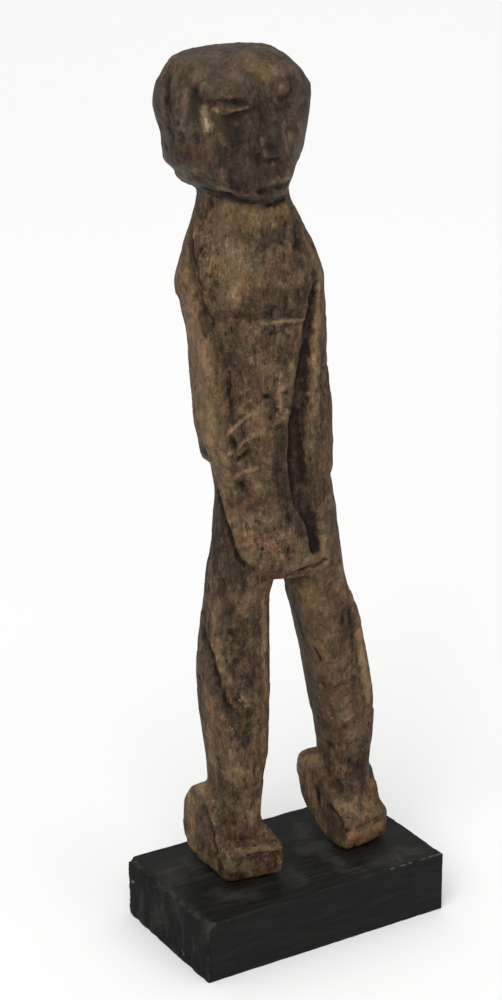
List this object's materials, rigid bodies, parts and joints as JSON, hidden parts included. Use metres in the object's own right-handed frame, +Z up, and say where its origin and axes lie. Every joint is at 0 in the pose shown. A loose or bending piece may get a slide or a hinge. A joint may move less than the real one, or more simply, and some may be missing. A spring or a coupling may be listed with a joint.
{
  "type": "carved double figure",
  "caption": "Slender standing wooden figure with arms carved against the trunk and a face on front and back of the head, on a small black wooden block.",
  "frame": {"origin": "middle of the block's underside", "axes": "+Z up along the figure's height, +X along the block's long side to the picture's right, the toes and the front face point to -Y"},
  "size_m": [0.078, 0.0485, 0.2479],
  "materials": {
    "carved_wood": "old carved wood with dark patina, worn lighter on the arms and edges",
    "black_painted_wood": "satin black paint, rubbed at the edges"
  },
  "bodies": {
    "root": {"figure": "carved_wood", "plinth": "black_painted_wood"}
  },
  "joints": []
}
